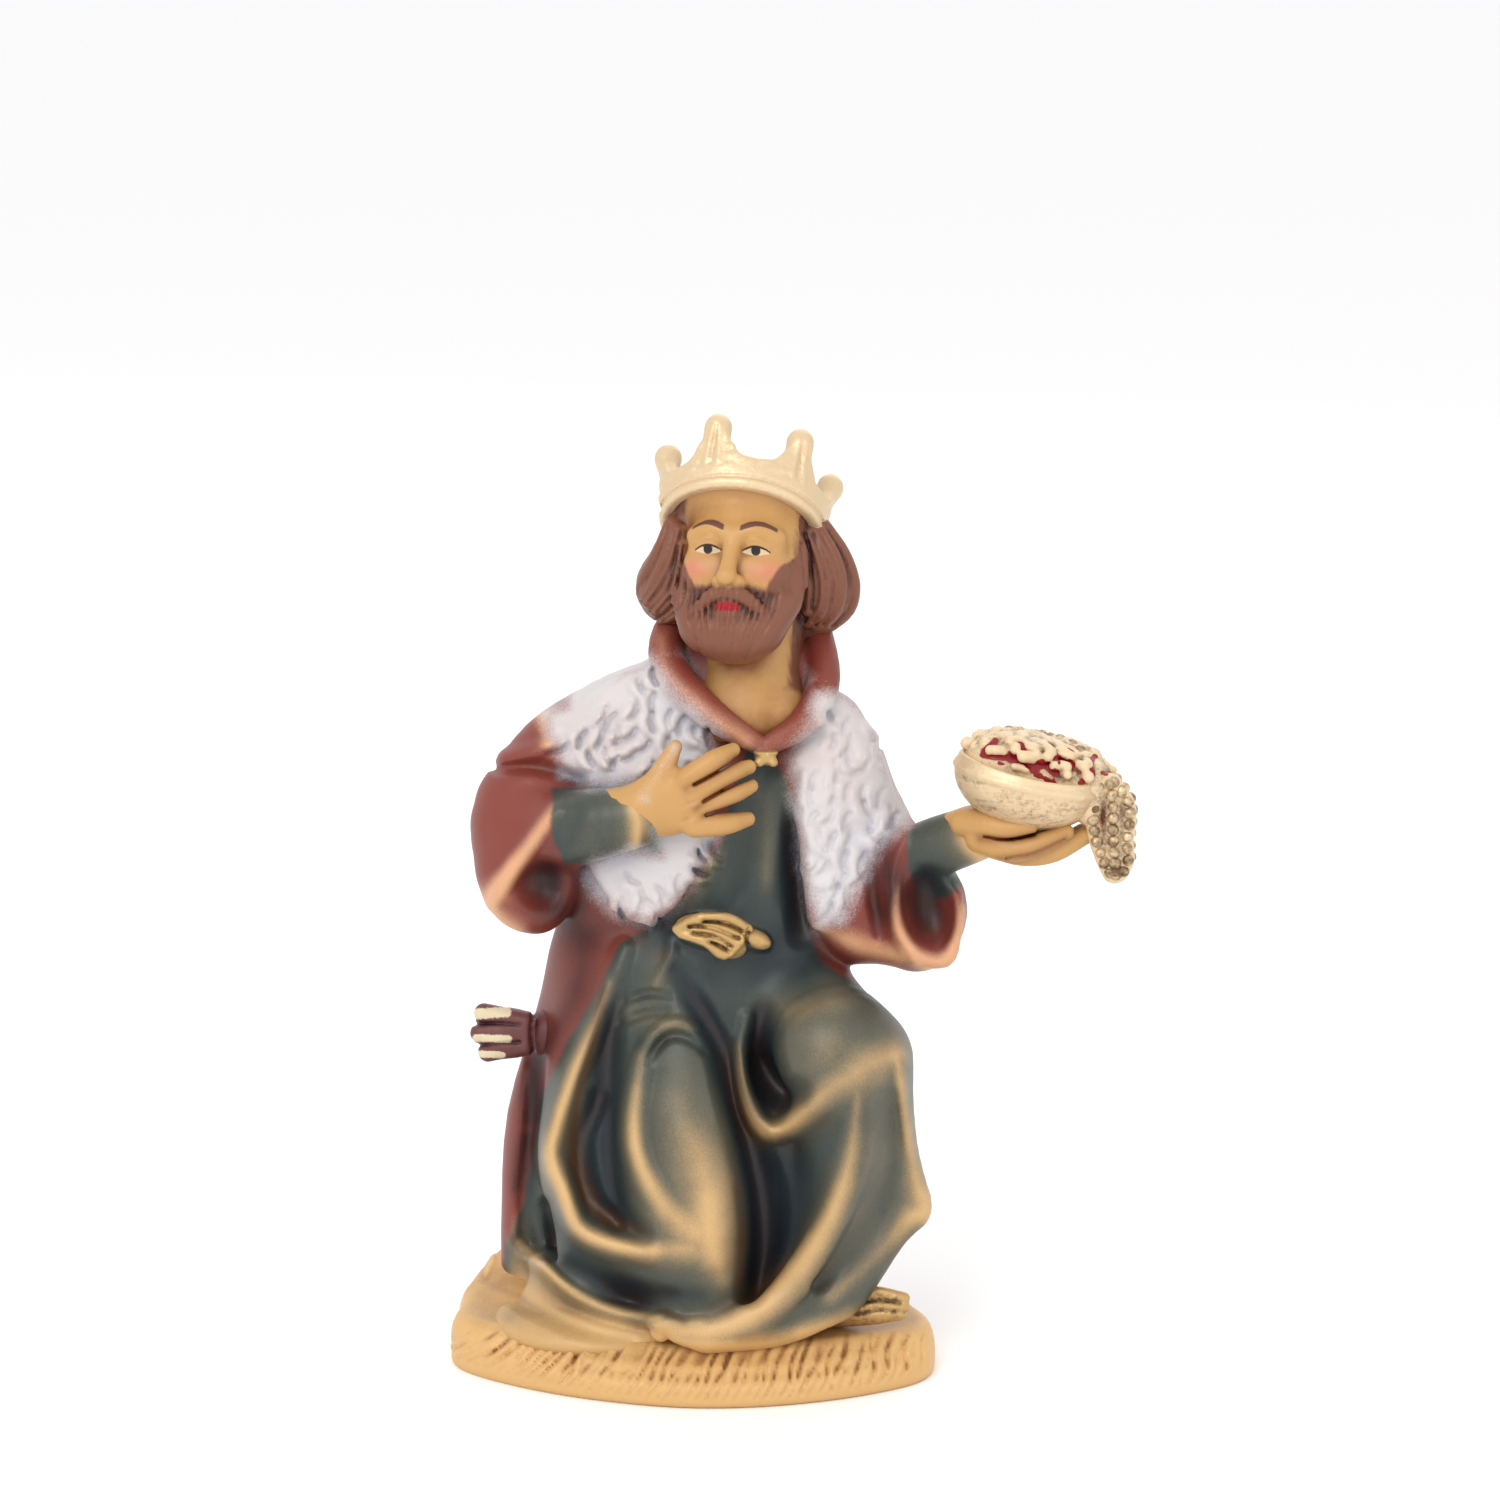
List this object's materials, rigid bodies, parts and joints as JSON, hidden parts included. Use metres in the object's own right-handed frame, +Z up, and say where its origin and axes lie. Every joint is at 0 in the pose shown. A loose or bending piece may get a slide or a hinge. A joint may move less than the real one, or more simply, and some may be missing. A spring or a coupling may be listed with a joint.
{
  "type": "kneeling nativity wise man figurine",
  "caption": "Painted resin nativity figure of a crowned, bearded king kneeling on one knee, hand on chest, holding out a bowl of treasure, on an oval grassy base.",
  "frame": {"origin": "middle of the base's underside", "axes": "+Z up, -Y out of the figure's front, +X to the figure's left"},
  "size_m": [0.068, 0.0374, 0.0966],
  "materials": {
    "painted_resin": "semi-matte hand-painted cast resin"
  },
  "bodies": {
    "root": {"wise_man_figurine": "painted_resin"}
  },
  "joints": []
}
